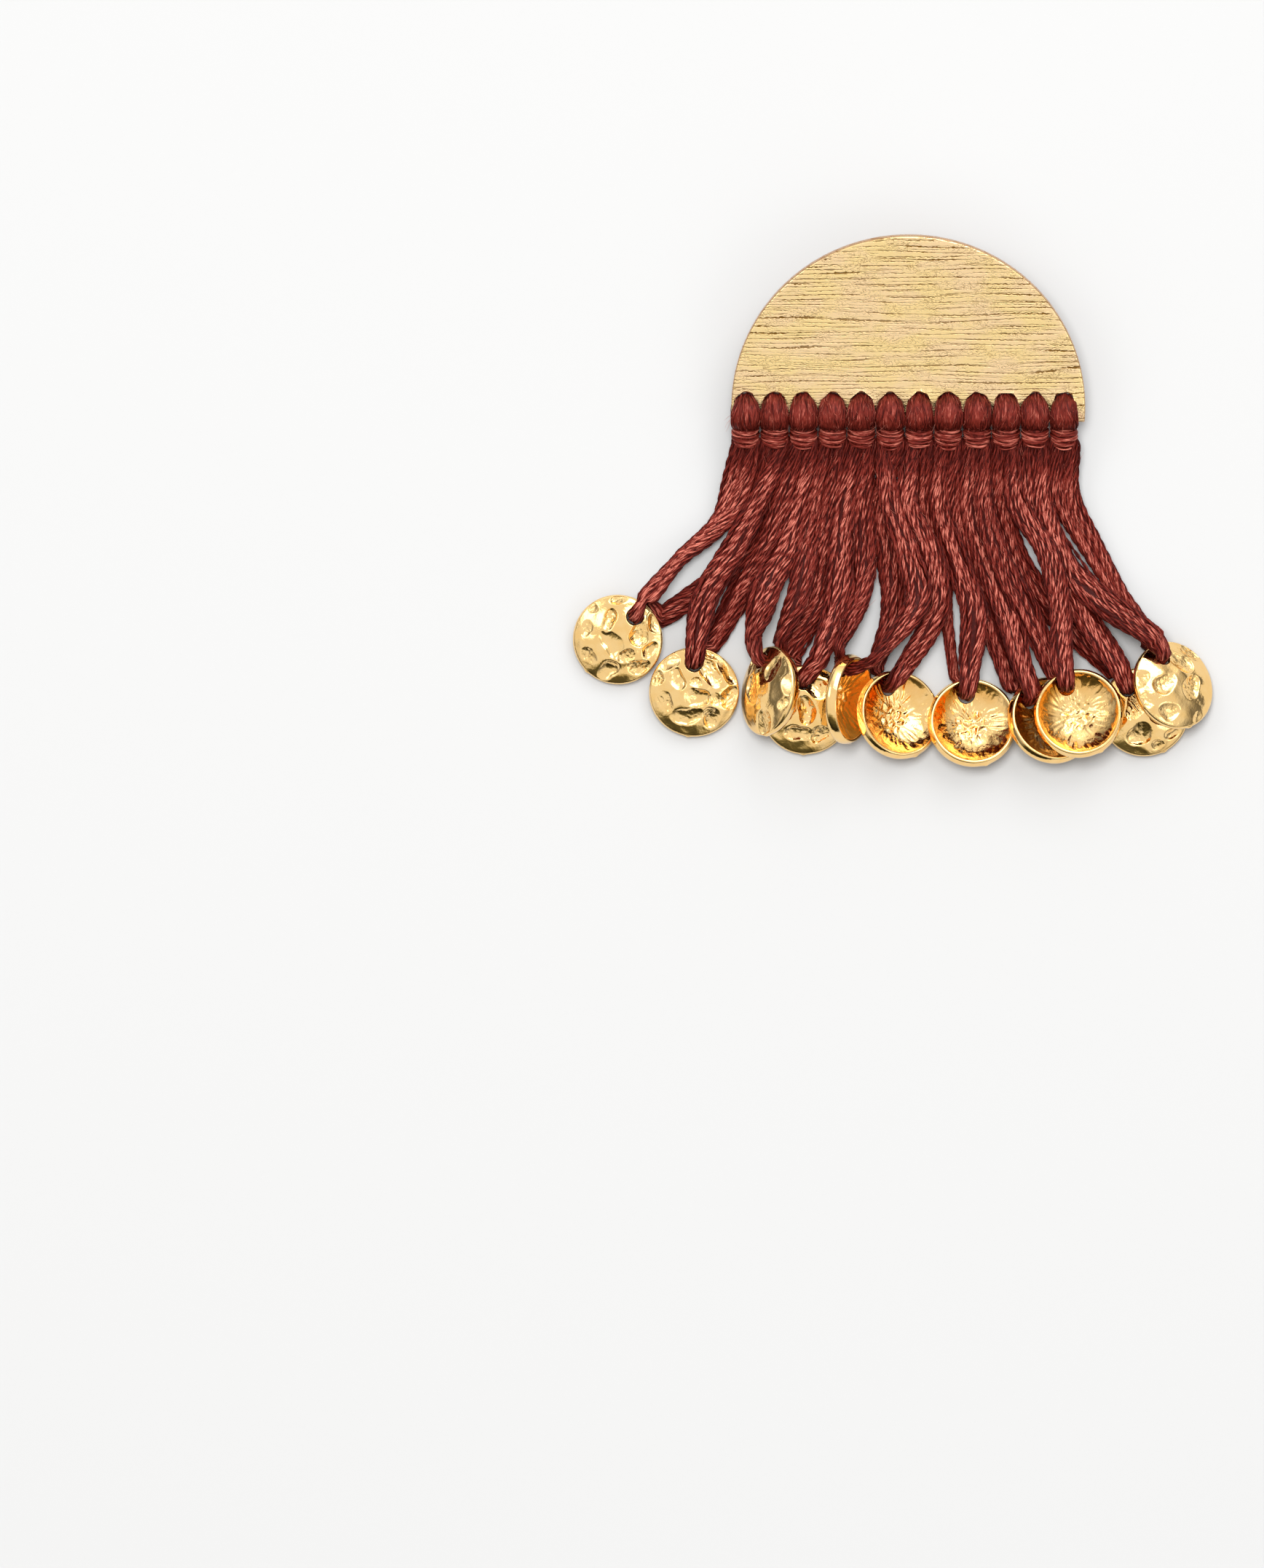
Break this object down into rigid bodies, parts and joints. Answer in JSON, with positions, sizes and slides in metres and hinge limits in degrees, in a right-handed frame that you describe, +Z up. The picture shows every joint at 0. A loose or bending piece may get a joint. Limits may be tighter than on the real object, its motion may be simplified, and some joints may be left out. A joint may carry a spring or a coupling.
{
  "type": "tassel earring",
  "caption": "Tassel earring: a half round brushed plate with knotted thread locks along its straight edge, which hold hammered dish charms in a fan, and a pin for the ear on its back.",
  "frame": {"origin": "on the surface the earring lies on, under the middle of its box", "axes": "+X along the plate's straight edge, +Y from the charms to the plate's round top, +Z up from the surface to the front of the earring"},
  "size_m": [0.0726, 0.0604, 0.01],
  "materials": {
    "brushed_gold": "pale gold plate with fine irregular brush lines along its length",
    "hammered_gold": "mirror gold plate with hammer marks on the dome",
    "gold_post": "plain gold plate",
    "thread": "matt rust brown two ply cotton thread"
  },
  "bodies": {
    "root": {"plate": "brushed_gold", "ear_post": "gold_post", "tassel_01": "thread", "tassel_02": "thread", "tassel_03": "thread", "tassel_04": "thread", "tassel_05": "thread", "tassel_06": "thread", "tassel_07": "thread", "tassel_08": "thread", "tassel_09": "thread", "tassel_10": "thread", "tassel_11": "thread", "tassel_12": "thread", "disc_01": "hammered_gold", "disc_02": "hammered_gold", "disc_03": "hammered_gold", "disc_04": "hammered_gold", "disc_05": "hammered_gold", "disc_06": "hammered_gold", "disc_07": "hammered_gold", "disc_08": "hammered_gold", "disc_09": "hammered_gold", "disc_10": "hammered_gold", "disc_11": "hammered_gold"}
  },
  "joints": []
}
